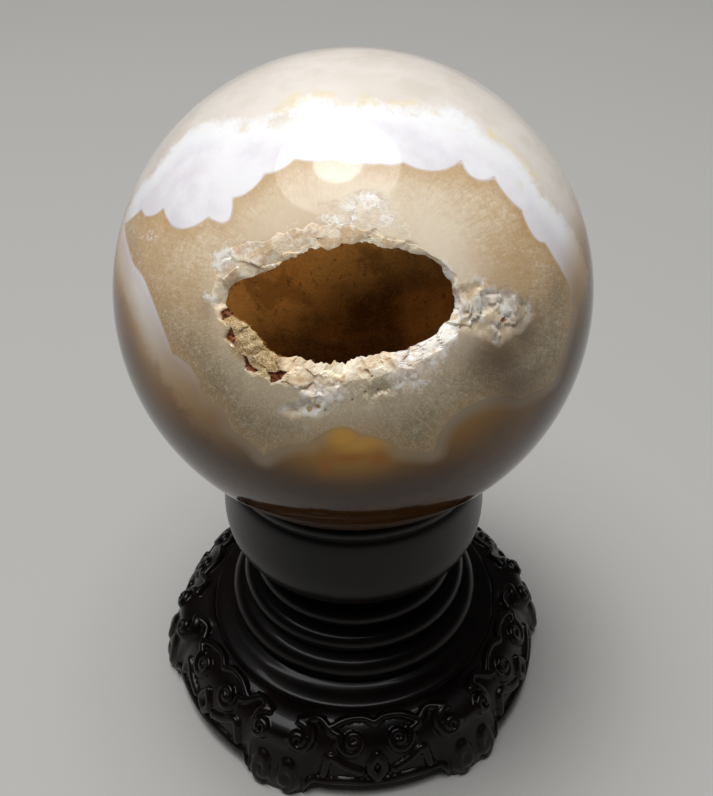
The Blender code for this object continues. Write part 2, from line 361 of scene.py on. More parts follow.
def add_vectors(obj, name, values):
    field = obj.data.attributes.new(name, "FLOAT_VECTOR", "POINT")
    field.data.foreach_set("vector", np.asarray(values, np.float32).ravel())


def ball_grid(angle):
    """For each point, ring by ring: angle round, angle off the axis, and share of the broken rim."""
    edge, lip = broken_edge(angle), mouth_edge(angle)
    back = np.linspace(FIRST_RING, LAST_BACK_RING, POLISHED_RINGS[0])
    rings = [np.full(BALL_COLUMNS, s) for s in back]
    front = np.linspace(0, 1, POLISHED_RINGS[1])
    rings += [FIRST_FRONT_RING + (edge - FIRST_FRONT_RING) * t for t in front]
    shares = np.linspace(0, 1, BROKEN_RINGS + 1)[1:]
    rings += [edge + (lip - edge) * t for t in shares]
    share_of_ring = np.concatenate([np.zeros(sum(POLISHED_RINGS)), shares])
    return np.tile(angle, len(rings)), np.concatenate(rings), np.repeat(share_of_ring, BALL_COLUMNS)


def broken_stone(around, off_axis, share):
    """Points of the ball's face with its dent and its broken places, and distances to their outlines."""
    shell = on_shell(around, off_axis, np.full(len(around), BALL_RADIUS))
    outwards = (shell - BALL_CENTRE) / BALL_RADIUS
    polished = share == 0
    rough = layered_noise(shell, ROUGH_WAVELENGTH, ROUGH_SEED, ROUGH_LAYERS)
    front = (share > 0) | (off_axis < FACETS_WITHIN + 1)
    crystal, plates = np.zeros(len(shell)), np.zeros(len(shell))
    crystal[front] = facets(shell[front], *LARGE_FACETS) + facets(shell[front], *SMALL_FACETS)
    plates[front] = facets(shell[front], *PLATE_FACETS)
    # The rim
    sunk = lip_depth_at(around) * share**1.5
    rim_relief = smooth(share / 0.16) * closed_curve(RIM_RELIEF, around)
    sunk += rim_relief * (0.00022 * (rough + 0.8) + crystal)
    # The dent
    middle = on_shell(np.array([math.radians(DENT_ROUND)]), np.array([DENT_OFF_AXIS]), np.array([1.0]))
    off = np.clip(outwards @ (middle[0] - BALL_CENTRE), -1, 1)
    off = np.degrees(np.arccos(off)) / DENT_HALF_WIDTH
    dent = np.exp(-((off * (1 + 0.35 * rough)) ** 4))
    sunk += dent * (0.4 * DENT_DEPTH + 0.0003 * (rough + 0.3) + 0.8 * crystal) * polished
    # The chips, the patches and the pits
    flat = on_plane(around, off_axis)
    chip_edge = past_outlines(flat, RUST_CHIPS)
    sunk += CHIP_DEPTH * smooth(0.5 - chip_edge / 0.5) * (off_axis < STAIN_OFF_AXIS)
    patch_edge = past_outlines(flat, PATCHES) + 0.8 * rough
    patch_depth = 0.0004 + 0.0002 * rough + 0.5 * crystal + 0.5 * plates
    sunk += smooth(0.3 - patch_edge / 2.4) * patch_depth * polished
    for a, s, half_round, half_out in DARK_PITS:
        pit = [(a, s, 0.6 * half_round, 0.8 * half_out, 1)]
        sunk += PIT_DEPTH * spot_strength(pit, np.degrees(around), off_axis)
    return shell - outwards * np.maximum(sunk, 0)[:, None], chip_edge, patch_edge


def lumpy_wall(angle, steps):
    """Rings of the hollow's own wall, which the crust covers."""
    walls = []
    for step in steps:
        side, depth = hollow_wall(angle, np.full(BALL_COLUMNS, step))
        wall = place(angle, side, depth)
        lumps = 0.018 * layered_noise(wall, 0.003, 41)[:, None]
        walls.append(wall + (BALL_CENTRE + HOLLOW_DEPTH * OUT - wall) * lumps)
    return walls


def agate_ball():
    angle = np.arange(BALL_COLUMNS) * math.tau / BALL_COLUMNS
    around, off_axis, share = ball_grid(angle)
    shell, chip_edge, patch_edge = broken_stone(around, off_axis, share)
    steps = np.linspace(0, 2, HOLLOW_RINGS + 2)[1:-1]
    hollow_end = BALL_CENTRE + (HOLLOW_DEPTH - HOLLOW_BACK) * OUT
    poles = np.stack([BALL_CENTRE - BALL_RADIUS * OUT, hollow_end])
    points = np.concatenate([shell, *lumpy_wall(angle, steps), poles])
    rings = len(shell) // BALL_COLUMNS + len(steps)
    obj = make_mesh("agate_ball_look", points, ring_faces(rings, BALL_COLUMNS))
    obj.data.set_sharp_from_angle(angle=math.radians(32))
    # What the material reads, for every point; the hollow's wall takes its lip's angles
    far_off = np.full(len(steps) * BALL_COLUMNS + 2, 9.0)
    around = np.concatenate([around, np.tile(angle, len(steps)), [0, 0]])
    off_axis = np.concatenate([off_axis, np.tile(mouth_edge(angle), len(steps)), [180, 0]])
    share = np.concatenate([share, 1 + np.repeat(steps, BALL_COLUMNS), [0, 3]])
    flat = on_plane(around, off_axis)
    add_numbers(obj, "past_chip", np.concatenate([chip_edge, far_off]))
    add_numbers(obj, "past_patch", np.concatenate([patch_edge, far_off]))
    add_numbers(obj, "past_inner", signed_distance(flat, outline(INNER_EDGE)))
    add_numbers(obj, "past_outer", signed_distance(flat, outline(OUTER_EDGE, 3)))
    add_numbers(obj, "whiteness", closed_curve(WHITENESS, around))
    add_numbers(obj, "broken", share)
    add_numbers(obj, "off_axis", off_axis)
    for name, spots in (
        ("sugar", SUGAR_SPOTS), ("cream", CREAM_SPOTS), ("gold", GOLD_SPOTS), ("amber", AMBER_SPOTS),
        ("orange", ORANGE_SPOTS), ("painted_shade", PAINTED_SHADE_SPOTS), ("crumbly", CRUMBLY_SPOTS),
        ("pale", PALE_SPOTS), ("pits", [(*pit, 1) for pit in DARK_PITS]),
    ):
        add_numbers(obj, name, spot_strength(spots, np.degrees(around), off_axis))
    add_vectors(obj, "radial", np.stack([np.cos(around), np.sin(around), off_axis / 60], 1))
    return obj


def spread_directions(count, jitter):
    """Directions spread evenly over a sphere, each moved a little."""
    source = np.random.default_rng(CRYSTAL_SEED)
    i = np.arange(count)
    height = 1 - 2 * (i + 0.5) / count
    turn = i * math.pi * (3 - math.sqrt(5))
    ring = np.sqrt(1 - height**2)
    found = np.stack([np.cos(turn) * ring, np.sin(turn) * ring, height], 1)
    found += source.uniform(-jitter, jitter, found.shape)
    return found / np.linalg.norm(found, axis=1, keepdims=True)


def wall_step(directions):
    """The angle of each direction, and the step along the hollow's wall that it meets."""
    angle = np.arctan2(directions[:, 1], directions[:, 0])
    across = np.hypot(directions[:, 0], directions[:, 1])
    low, high = np.zeros(len(angle)), np.full(len(angle), 2.0)
    for _ in range(24):
        step = (low + high) / 2
        side, depth = hollow_wall(angle, step)
        past = directions[:, 2] * side > across * (depth - HOLLOW_DEPTH)
        low, high = np.where(past, low, step), np.where(past, step, high)
    return angle, low


def hollow_points(directions, inset):
    """The wall's points seen from the hollow's centre, moved towards that centre by the inset."""
    side, depth = hollow_wall(*wall_step(directions))
    angle = np.arctan2(directions[:, 1], directions[:, 0])
    centre = BALL_CENTRE + HOLLOW_DEPTH * OUT
    points = place(angle, side, depth)
    inwards = centre - points
    inwards /= np.linalg.norm(inwards, axis=1, keepdims=True)
    return points + inwards * np.asarray(inset).reshape(-1, 1)


def crystal_crust():
    """Small six-sided crystals, each a pyramid with a face towards each neighbour."""
    source = np.random.default_rng(CRYSTAL_SEED + 1)
    directions = spread_directions(CRYSTALS, 0.25 / math.sqrt(CRYSTALS))
    bm = bmesh.new()
    bmesh.ops.convex_hull(bm, input=[bm.verts.new(d) for d in directions])
    corners = list(bm.verts)
    steps = wall_step(np.array([v.co for v in corners]))[1]
    past_front = [v for v, step in zip(corners, steps) if step < CRUST_FRONT]
    bmesh.ops.delete(bm, geom=past_front, context="VERTS")
    bm.verts.index_update()
    bm.faces.index_update()
    seeds = np.array([v.co for v in bm.verts])
    rim = np.array([v.is_boundary for v in bm.verts])
    middles = np.array([f.calc_center_median().normalized() for f in bm.faces])
    faces = []
    for edge in bm.edges:
        a, b = (v.index for v in edge.verts)
        between = [len(seeds) + f.index for f in edge.link_faces]
        if len(between) == 2:
            faces += [(a, *between), (b, *between)]
        elif between:
            faces.append((a, b, between[0]))
    bm.free()
    # Tall crystals stand in groups between low ones
    tall = 0.5 + 0.5 * value_noise(seeds, 0.28, 5)
    height = GAP + 0.0005 + source.uniform(0.0001, 0.0008, len(seeds)) * (0.35 + 0.9 * tall)
    height[rim] = -0.0006
    apexes = hollow_points(seeds, height)
    lean = source.uniform(-0.00022, 0.00022, apexes.shape)
    apexes += lean * ~rim[:, None]
    valleys = hollow_points(middles, GAP + 0.0004 + source.uniform(0, 0.0003, len(middles)))
    points = np.concatenate([apexes, valleys])
    faces = np.array(faces)
    corners = points[faces]
    normals = np.cross(corners[:, 1] - corners[:, 0], corners[:, 2] - corners[:, 0])
    inwards = BALL_CENTRE + HOLLOW_DEPTH * OUT - corners.mean(1)
    turned = (normals * inwards).sum(1) < 0
    faces[turned] = faces[turned][:, ::-1]
    obj = make_mesh("crystal_crust_look", points, faces, smooth_faces=False)
    # More light comes through the stone above and to the left
    outwards = (points - BALL_CENTRE) / BALL_RADIUS
    left_and_up = smooth((outwards @ (0.8 * UPWARD - 0.55 * ACROSS) + 0.17) / 0.5)
    right = smooth((outwards @ ACROSS - 0.12) / 0.25)
    add_numbers(obj, "lit_side", left_and_up + 0.22 * right)
    return obj


# The stand: turned parts, and a carved skirt with six scroll feet
TURNED_COLUMNS = 144
SKIRT_COLUMNS = 720
FEET = 6
FIRST_FOOT = math.radians(12)
SEAT_RADIUS = 0.575 * BALL_RADIUS
UNDERSIDE = 0.0030
SKIRT_TOP = (0.0380, 0.0188)
SKIRT_SPREAD = 0.0106
SKIRT_DROP = 0.0152
SKIRT_LENGTH = 0.0190
SKIRT_ROWS = 84
FOOT_HALF_WIDTH = 0.0068
TOE_REACH = 0.0524
CARVED_RADIUS = 0.047
CARVING_DEPTH = 0.0011
CARVING_WIDTH = 0.0011
KNEE_BULGE = 0.0022
FOOT_RING = (0.0420, 0.0408)
SKIRT_GROOVE = (0.0370, 0.0172)


def arc(centre_side, centre_height, radius, start, end, count):
    turn = np.radians(np.linspace(start, end, count))
    return list(zip(centre_side + radius * np.cos(turn), centre_height + radius * np.sin(turn)))


def curve_through(points, count):
    """A smooth open curve through some points."""
    p = np.array(points, float)
    p = np.concatenate([[2 * p[0] - p[1]], p, [2 * p[-1] - p[-2]]])
    spots = np.linspace(0, len(points) - 1, count)
    i = np.minimum(spots.astype(int), len(points) - 2)
    t = (spots - i)[:, None]
    before, here, after, later = (p[i + k] for k in range(4))
    curve = (
        2 * here
        + (after - before) * t
        + (2 * before - 5 * here + 4 * after - later) * t**2
        + (3 * here - before - 3 * after + later) * t**3
    )
    return [tuple(point) for point in curve / 2]


def turned_profile():
    """(radius, height) from the middle of the seat, over its rim and down to the skirt's top."""
    dish = BALL_RADIUS + GAP
    seat_radii = np.linspace(0.002, SEAT_RADIUS, 12)
    seat = [(r, BALL_CENTRE[2] - math.sqrt(dish**2 - r**2)) for r in seat_radii]
    rim = [
        seat[-1], (0.0293, 0.07425), (0.0302, 0.0743), (0.0310, 0.0736), (0.0312, 0.0726),
        (0.0308, 0.0714),
    ]
    cup = [
        (0.0303, 0.0703), (0.0310, 0.0690), (0.0314, 0.0660), (0.0318, 0.0610), (0.0320, 0.0565),
        (0.0315, 0.0525), (0.0300, 0.0494), (0.0276, 0.0473), (0.0250, 0.0458), (0.0232, 0.0441),
        (0.0224, 0.0421), (0.0221, 0.0400),
    ]
    rows = seat + curve_through(rim, 14)[1:] + curve_through(cup, 34)
    rows += arc(0.0234, 0.0368, 0.0024, 80, -80, 11)
    rows += arc(0.0262, 0.0312, 0.0027, 80, -75, 12)
    rows += arc(0.0288, 0.0246, 0.0036, 80, -62, 14)
    shoulder = [
        (0.0318, 0.0210), (0.0333, 0.0204), (0.0355, 0.0201), (0.0374, 0.0196), (0.0381, 0.0186),
    ]
    return rows + curve_through(shoulder, 12) + [(0.0376, 0.0172)]


def spiral(centre, start_radius, end_radius, start_degrees, turns, count=34):
    share = np.linspace(0, 1, count)
    radius = start_radius * (end_radius / start_radius) ** share
    turn = np.radians(start_degrees + 360 * turns * share)
    return np.array(centre) + np.stack([radius * np.cos(turn), radius * np.sin(turn)], 1)


def carving_strokes():
    """Raised lines of one half of the pattern, as (across from a foot's middle, down the skirt)."""
    foot_scroll = spiral((0.0052, 0.0082), 0.0041, 0.0009, -100, 1.35)
    cloud_scroll = spiral((0.0186, 0.0080), 0.0037, 0.0008, 200, -1.4)
    toe_scroll = spiral((0.0030, 0.0158), 0.0026, 0.0007, 90, -1.1, 24)
    stem = [foot_scroll[0], (0.0092, 0.0030), (0.0128, 0.0058), cloud_scroll[0]]
    cloud_top = [(0.0128, 0.0050), (0.0170, 0.0026), (0.0215, 0.0022), (0.0246, 0.0036)]
    leaf = [(0.0116, 0.0160), (0.0130, 0.0118), (0.0168, 0.0136), (0.0205, 0.0150)]
    drop = [(0.0246, 0.0168), (0.0228, 0.0142), (0.0246, 0.0112)]
    edge = [(0.0082, 0.0176), (0.0110, 0.0182), (0.0170, 0.0176), (0.0246, 0.0184)]
    curves = [(stem, 16), (cloud_top, 14), (leaf, 14), (drop, 12), (edge, 14)]
    scrolls = [foot_scroll, cloud_scroll, toe_scroll]
    return scrolls + [np.array(curve_through(points, count)) for points, count in curves]


def distance_to_line(points, line):
    starts, ways = line[:-1], np.diff(line, axis=0)
    offset = points[:, None] - starts
    share = np.clip((offset * ways).sum(-1) / (ways**2).sum(1), 0, 1)
    return np.sqrt(((offset - share[..., None] * ways) ** 2).sum(-1)).min(1)


def carving(across, down):
    points = np.stack([across, down], 1)
    near = np.min([distance_to_line(points, line) for line in carving_strokes()], axis=0)
    return CARVING_DEPTH * np.sqrt(np.clip(1 - (near / CARVING_WIDTH) ** 2, 0, 1))


def skirt_rings():
    """Rings of the skirt and its feet, from under the shoulder to the underside."""
    angle = FIRST_FOOT + np.arange(SKIRT_COLUMNS) * math.tau / SKIRT_COLUMNS
    pitch = math.tau / FEET
    off = np.abs((angle - FIRST_FOOT + pitch / 2) % pitch - pitch / 2)
    across = off * CARVED_RADIUS
    foot = smooth((FOOT_HALF_WIDTH + 0.0030 - across) / 0.0042)
    crowned = 1 - 0.25 * (across / FOOT_HALF_WIDTH) ** 2 * (across < FOOT_HALF_WIDTH)
    level_ring = np.ones(SKIRT_COLUMNS)
    rings = [(SKIRT_GROOVE[0] * level_ring, SKIRT_GROOVE[1] * level_ring)]
    for share in np.linspace(0, 1, SKIRT_ROWS):
        turn = share * math.pi / 2
        side = SKIRT_TOP[0] + SKIRT_SPREAD * math.sin(turn)
        height = SKIRT_TOP[1] - SKIRT_DROP * (1 - math.cos(turn))
        raised = carving(across, share * SKIRT_LENGTH * level_ring)
        raised *= smooth(share / 0.06) * smooth((1 - share) / 0.05)
        knee = KNEE_BULGE * math.exp(-(((share - 0.42) / 0.24) ** 2))
        toe = (TOE_REACH - CARVING_DEPTH - side) * smooth((share - 0.62) / 0.3)
        radius = side + foot * (knee + toe * crowned) + raised * max(math.sin(turn), 0.35)
        level = height + raised * math.cos(turn) + foot * (0.0012 * math.sin(math.pi * share))
        drop_to_floor = foot * (UNDERSIDE + 0.0006) * smooth((share - 0.6) / 0.4)
        rings.append((radius, level - drop_to_floor))
    # Only the feet reach the floor
    bottom = UNDERSIDE * (1 - smooth((foot - 0.2) / 0.5))
    rings.append((rings[-1][0] - 0.0006, bottom))
    rings.append((FOOT_RING[0] * level_ring, bottom))
    rings.append((FOOT_RING[1] * level_ring, UNDERSIDE * level_ring))
    rings.append((0.0100 * level_ring, UNDERSIDE * level_ring))
    return angle, rings


def rings_to_points(angle, rings):
    layers = [np.stack([r * np.cos(angle), r * np.sin(angle), z + 0 * r], 1) for r, z in rings]
    return np.concatenate(layers)


def wood_stand():
    angle = np.arange(TURNED_COLUMNS) * math.tau / TURNED_COLUMNS
    profile = [(np.full(TURNED_COLUMNS, r), np.full(TURNED_COLUMNS, z)) for r, z in turned_profile()]
    seat_bottom = BALL_CENTRE[2] - BALL_RADIUS - GAP
    turned = rings_to_points(angle, profile)
    turned = np.concatenate([turned, [[0, 0, seat_bottom], [0, 0, profile[-1][1][0]]]])
    faces = ring_faces(len(profile), TURNED_COLUMNS)
    skirt_angle, rings = skirt_rings()
    skirt = rings_to_points(skirt_angle, rings)
    skirt = np.concatenate([skirt, [[0, 0, rings[0][1][0]], [0, 0, UNDERSIDE]]])
    start = len(turned)
    faces += [[i + start for i in face] for face in ring_faces(len(rings), SKIRT_COLUMNS)]
    obj = make_mesh("wood_stand_look", np.concatenate([turned, skirt]), faces)
    obj.data.flip_normals()
    obj.data.set_sharp_from_angle(angle=math.radians(50))
    return obj


def linear(code):
    """A linear colour from a hex code."""
    parts = [int(code[i : i + 2], 16) / 255 for i in (0, 2, 4)]
    return tuple(c / 12.92 if c <= 0.04045 else ((c + 0.055) / 1.055) ** 2.4 for c in parts) + (1,)


QUARTZ_IOR = 1.54


class Finish:
    """A material and short ways to add nodes to it."""

    def __init__(self, name):
        self.material = bpy.data.materials.new(name)
        self.material.use_nodes = True
        self.tree = self.material.node_tree
        self.shader = self.tree.nodes["Principled BSDF"]
        self.place = self.add("ShaderNodeTexCoord").outputs["Object"]

    def add(self, kind, inputs=(), **settings):
        node = self.tree.nodes.new(kind)
        for name, value in settings.items():
            setattr(node, name, value)
        for name, value in dict(inputs).items():
            self.feed(node.inputs[name], value)
        return node

    def feed(self, socket, value):
        if isinstance(value, bpy.types.NodeSocket):
            self.tree.links.new(value, socket)
        else:
            socket.default_value = value

    def surface(self, values):
        """The material, with values or links for the shader's sockets, by name."""
        for name, value in values.items():
            self.feed(self.shader.inputs[name], value)
        return self.material

    def number(self, name):
        return self.add("ShaderNodeAttribute", attribute_name=name).outputs["Fac"]

    def vector(self, name):
        return self.add("ShaderNodeAttribute", attribute_name=name).outputs["Vector"]

    def stretched(self, vector, amounts):
        return self.add("ShaderNodeVectorMath", {0: vector, 1: amounts}, operation="MULTIPLY").outputs[0]

    def noise(self, scale, detail=3.0, roughness=0.55, vector=None, distortion=0.0):
        inputs = {
            "Vector": vector or self.place, "Scale": scale, "Detail": detail, "Roughness": roughness,
            "Distortion": distortion,
        }
        return self.add("ShaderNodeTexNoise", inputs).outputs["Fac"]

    def cells(self, scale, output="Distance", vector=None):
        inputs = {"Vector": vector or self.place, "Scale": scale}
        return self.add("ShaderNodeTexVoronoi", inputs).outputs[output]

    def warped(self, scale, reach):
        """The place, moved a little by noise, for uneven cells."""
        inputs = {"Vector": self.place, "Scale": scale, "Detail": 2.0}
        push = self.add("ShaderNodeTexNoise", inputs).outputs["Color"]
        half = (0.5, 0.5, 0.5)
        push = self.add("ShaderNodeVectorMath", {0: push, 1: half}, operation="SUBTRACT").outputs[0]
        push = self.stretched(push, (reach, reach, reach))
        return self.add("ShaderNodeVectorMath", {0: self.place, 1: push}, operation="ADD").outputs[0]

    def random_cells(self, scale, uneven_scale, reach):
        """Two random values for each of some uneven cells."""
        colour = self.cells(scale, "Color", self.warped(uneven_scale, reach))
        return self.add("ShaderNodeSeparateColor", {0: colour}).outputs[:2]

    def radial_noise(self, scale, detail, roughness, stretch, distortion):
        """Noise drawn out along the lines that run outwards from the hollow."""
        vector = self.stretched(self.vector("radial"), stretch)
        return self.noise(scale, detail, roughness, vector, distortion)

    def maths(self, operation, a, b=0.0):
        return self.add("ShaderNodeMath", {0: a, 1: b}, operation=operation).outputs[0]

    def total(self, first, *others):
        for other in others:
            first = self.maths("ADD", first, other)
        return first

    def share(self, value, amount):
        return self.maths("MULTIPLY", value, amount)

    def uneven(self, value, noise, reach):
        """A value with a noise value added as an offset about 0."""
        return self.total(value, self.around_half(noise, reach))

    def around_half(self, value, reach):
        """A noise value as an offset about 0."""
        return self.maths("MULTIPLY", self.maths("SUBTRACT", value, 0.5), reach)

    def ramp(self, value, low, high):
        """0 below low, 1 above high and smooth between; high may be less than low."""
        inputs = {"Value": value, "From Min": low, "From Max": high}
        return self.add("ShaderNodeMapRange", inputs, interpolation_type="SMOOTHSTEP").outputs["Result"]

    def mix(self, share, a, b, blend="MIX"):
        node = self.add("ShaderNodeMix", data_type="RGBA", blend_type=blend)
        self.feed(node.inputs[0], share)
        self.feed(node.inputs[6], a)
        self.feed(node.inputs[7], b)
        return node.outputs[2]

    def shades(self, share, dark, light):
        """A colour between two hex codes."""
        return self.mix(share, linear(dark), linear(light))

    def layered(self, colour, *layers):
        """A colour with others over it, each given as a hex code, where it lies and how strong it is."""
        for code, where, amount in layers:
            colour = self.mix(self.share(where, amount), colour, linear(code))
        return colour

    def bump(self, height, distance, strength=1.0):
        inputs = {"Height": height, "Distance": distance, "Strength": strength}
        return self.add("ShaderNodeBump", inputs).outputs["Normal"]


class Agate(Finish):
    """The ball's material: the values that its layers share, and a method for each layer."""

    def __init__(self):
        super().__init__("polished agate")
        self.past_inner, self.past_outer = self.number("past_inner"), self.number("past_outer")
        self.whiteness, self.broken = self.number("whiteness"), self.number("broken")
        self.off_axis, self.painted_shade = self.number("off_axis"), self.number("painted_shade")
        self.fibres = self.radial_noise(13, 5, 0.65, (4.0, 4.0, 1.3), 0.5)
        self.clouds = self.noise(34, 4, 0.6)
        self.lumps = self.noise(130, 4, 0.6)
        self.grain = self.noise(900, 3, 0.6)
        self.dust = self.noise(2600, 3, 0.7)
        self.cell, self.other_cell = self.random_cells(430, 700, 0.0011)
        self.crumb, _ = self.random_cells(1500, 2000, 0.0004)
        fine = self.total(self.share(self.grain, 0.3), self.share(self.dust, 0.3))
        self.speckle = self.total(self.share(self.cell, 0.4), fine)
        self.level = self.height_on_ball()

    def height_on_ball(self):
        """Height in radii from the ball's middle, a little uneven, and less at both sides, so that the
        darker colours low down also fall on the flanks as painted shade.
        """
        xyz = self.add("ShaderNodeSeparateXYZ", {0: self.place})
        low, high = BALL_CENTRE[2] - BALL_RADIUS, BALL_CENTRE[2] + BALL_RADIUS
        inputs = {"Value": xyz.outputs["Z"], "From Min": low, "From Max": high, "To Min": -1.0}
        height = self.add("ShaderNodeMapRange", inputs).outputs["Result"]
        off_middle = self.maths("ABSOLUTE", xyz.outputs["X"])
        painted_side_shade = self.ramp(off_middle, 0.66 * BALL_RADIUS, 0.98 * BALL_RADIUS)
        return self.total(self.uneven(height, self.noise(26, 4, 0.6), 0.22), self.share(painted_side_shade, -0.34))

    def quartz(self):
        """Between the hollow and the bands: beige and cloudy, with faint fibres that run outwards."""
        # Darker and greyer low down: partly a greyer tone, partly painted shade
        lower_and_shaded = self.ramp(self.level, 0.5, 0.2)
        tan = self.shades(lower_and_shaded, "CFAF86", "988362")
        pale = self.shades(lower_and_shaded, "EBDABF", "C9B999")
        weave = self.total(self.share(self.clouds, 0.54), self.share(self.grain, 0.24))
        weave = self.total(self.share(self.fibres, 0.22), weave)
        streaks = self.radial_noise(22, 5, 0.7, (7.0, 7.0, 1.6), 1.2)
        fine_fibres = self.radial_noise(52, 4, 0.7, (9.0, 9.0, 2.4), 2.0)
        # Painted glints and sparkle: pale flecks that stand for light off small crystal faces
        painted_sparkle = self.share(self.ramp(self.dust, 0.52, 0.62), self.ramp(self.level, 0.62, 0.3))
        painted_glints = self.share(self.ramp(self.noise(420, 2), 0.63, 0.7), self.ramp(self.fibres, 0.45, 0.6))
        streaks = self.share(self.ramp(streaks, 0.54, 0.68), self.ramp(self.off_axis, 44, 24))
        fine_fibres = self.share(self.ramp(fine_fibres, 0.52, 0.66), self.ramp(self.level, 0.6, 0.2))
        return self.layered(
            self.mix(self.ramp(weave, 0.4, 0.62), tan, pale),
            ("C4A67C", self.ramp(self.noise(60, 3, 0.5), 0.5, 0.72), 0.5),
            ("C49E6C", self.ramp(self.past_inner, -4.5, -0.4), 0.5),
            ("EFE6D4", streaks, 0.4),
            ("EFE5D2", painted_sparkle, 0.3),
            ("8D7757", self.ramp(self.dust, 0.48, 0.38), 0.22),
            ("EEE4D0", fine_fibres, 0.34),
            ("F6EDDD", painted_glints, 0.3),
            ("E9D9BE", self.ramp(self.off_axis, 31, 20), 0.5),
            ("F2E6D2", self.number("pale"), 0.7),
            # Painted shade over the quartz
            ("6A5643", self.painted_shade, 0.85),
        )

    def white_band(self):
        mottle = self.total(self.share(self.clouds, 0.6), self.share(self.lumps, 0.4))
        island = self.share(self.ramp(self.lumps, 0.57, 0.64), self.ramp(self.past_outer, -6.5, -2.5))
        return self.layered(
            self.shades(self.ramp(mottle, 0.4, 0.6), "E6E2E8", "F7F5F8"),
            ("FAFAFC", self.ramp(self.past_outer, -7, -1.5), 0.8),
            ("E6DCC8", island, 0.6),
            # Tanner and darker low down: partly a tan tone, partly painted shade
            ("CFC0A4", self.ramp(self.level, 0.3, -0.3), 1.0),
        )

    def milky_band(self):
        return self.layered(
            # Darker and browner low down: partly the band's brown, partly painted shade
            self.shades(self.ramp(self.level, 0.12, -0.2), "C0A36A", "8F7038"),
            ("C9B795", self.ramp(self.noise(48, 4, 0.6), 0.45, 0.65), 0.35),
            ("D3C6AC", self.ramp(self.past_inner, 2.6, 0.2), 0.8),
        )

    def far_stripes(self):
        """Faint bands of uneven width round the hollow's axis, on the far side of the ball."""
        wave = self.uneven(self.off_axis, self.noise(10, 3, 0.5), 60)
        wave = self.uneven(self.uneven(wave, self.clouds, 12), self.lumps, 3)
        across = self.add("ShaderNodeCombineXYZ", {"X": self.share(wave, 0.16)}).outputs[0]
        stripes = self.ramp(self.noise(1.0, 2, 0.6, across), 0.42, 0.62)
        return self.share(stripes, self.ramp(self.past_outer, 12, 34))

    def chalcedony(self):
        """Outside the band: cream, browner low down (partly painted shade), and yellow in places along
        the band.
        """
        near_outer = self.ramp(self.maths("ABSOLUTE", self.past_outer), 5.5, 0.5)
        yellow = self.share(self.ramp(self.noise(150, 3), 0.52, 0.64), near_outer)
        return self.layered(
            self.shades(self.ramp(self.clouds, 0.4, 0.6), "DFD7CD", "E8E1D9"),
            ("D6CBBC", self.ramp(self.lumps, 0.5, 0.66), 0.4),
            # Browner low down: partly the stone's tone, partly painted shade
            ("A78A60", self.ramp(self.level, 0.3, -0.05), 1.0),
            ("BFA482", self.far_stripes(), 0.5),
            ("EBD79F", yellow, self.share(self.whiteness, 0.6)),
        )

    def outer_stone(self):
        """Everything outside the quartz, which turns brown and darker towards the underside: partly the
        stone's tone, partly painted shade.
        """
        band = self.mix(self.ramp(self.whiteness, 0.0, 0.95), self.milky_band(), self.white_band())
        inner_line = self.ramp(self.maths("ABSOLUTE", self.past_inner), 0.55, 0.1)
        band = self.layered(band, ("BFAFAE", inner_line, 0.35))
        edge = self.uneven(self.uneven(self.past_outer, self.clouds, 12), self.lumps, 10)
        edge = self.uneven(self.uneven(edge, self.fibres, 4), self.noise(420, 4, 0.65), 5)
        colour = self.mix(self.ramp(edge, -1.8, 2.6), band, self.chalcedony())
        # The underside's brown, partly the stone's tone and partly painted shade, less even on the far
        # side
        patchy = self.around_half(self.noise(11, 3, 0.6), 1.3)
        level = self.total(self.level, self.share(patchy, self.ramp(self.past_outer, 16, 40)))
        brown = self.shades(self.ramp(level, 0.42, 0.02), "FFFFFF", "D9BC95")
        brown = self.layered(brown, ("695034", self.ramp(level, 0.05, -0.26), 1.0))
        colour = self.mix(1.0, colour, brown, "MULTIPLY")
        # A paler, lobed edge of the milky band, next to the quartz, and the spots of painted shade over
        # all
        lobes = self.uneven(self.past_inner, self.noise(52, 4, 0.65), 3.0)
        lobes = self.share(self.ramp(lobes, 4.6, 1.2), self.ramp(self.whiteness, 0.7, 0.3))
        return self.layered(colour, ("AB9C86", lobes, 0.72), ("5A4426", self.painted_shade, 0.8))

    def polished_stone(self):
        edge = self.uneven(self.past_inner, self.noise(220, 3), 0.9)
        stained = self.ramp(self.past_inner, -0.6, 0.9)
        return self.layered(
            self.mix(self.ramp(edge, -0.3, 0.4), self.quartz(), self.outer_stone()),
            ("E3AE4E", stained, self.number("amber")),
            ("B26F1E", stained, self.share(self.number("orange"), 0.85)),
        )

    def rim_crystal(self):
        return self.layered(
            self.shades(self.ramp(self.speckle, 0.3, 0.65), "E6C9A3", "FCEBD0"),
            ("C9A67C", self.ramp(self.crumb, 0.34, 0.1), 0.3),
            ("FFFAF0", self.ramp(self.crumb, 0.78, 0.86), 0.6),
        )

    def sugar_crystal(self):
        return self.layered(
            self.shades(self.ramp(self.speckle, 0.2, 0.58), "CFBCA8", "FFF5EA"),
            ("BBA48B", self.ramp(self.crumb, 0.3, 0.1), 0.35),
            ("FFFEFA", self.ramp(self.crumb, 0.7, 0.8), 0.8),
            ("EAD9BE", self.ramp(self.other_cell, 0.62, 0.7), 0.7),
        )

    def patch_plates(self):
        return self.layered(
            self.shades(self.ramp(self.cell, 0.2, 0.75), "E6DBCB", "FFFAF0"),
            ("EED9B8", self.ramp(self.other_cell, 0.56, 0.64), 1.0),
            ("B5A28E", self.ramp(self.crumb, 0.3, 0.1), 0.2),
            ("FFFCF5", self.ramp(self.crumb, 0.72, 0.82), 0.4),
        )

    def grainy(self, name, reach, low, high):
        """Where a number of the mesh is high, with an edge that follows the grain."""
        return self.ramp(self.uneven(self.number(name), self.grain, reach), low, high)

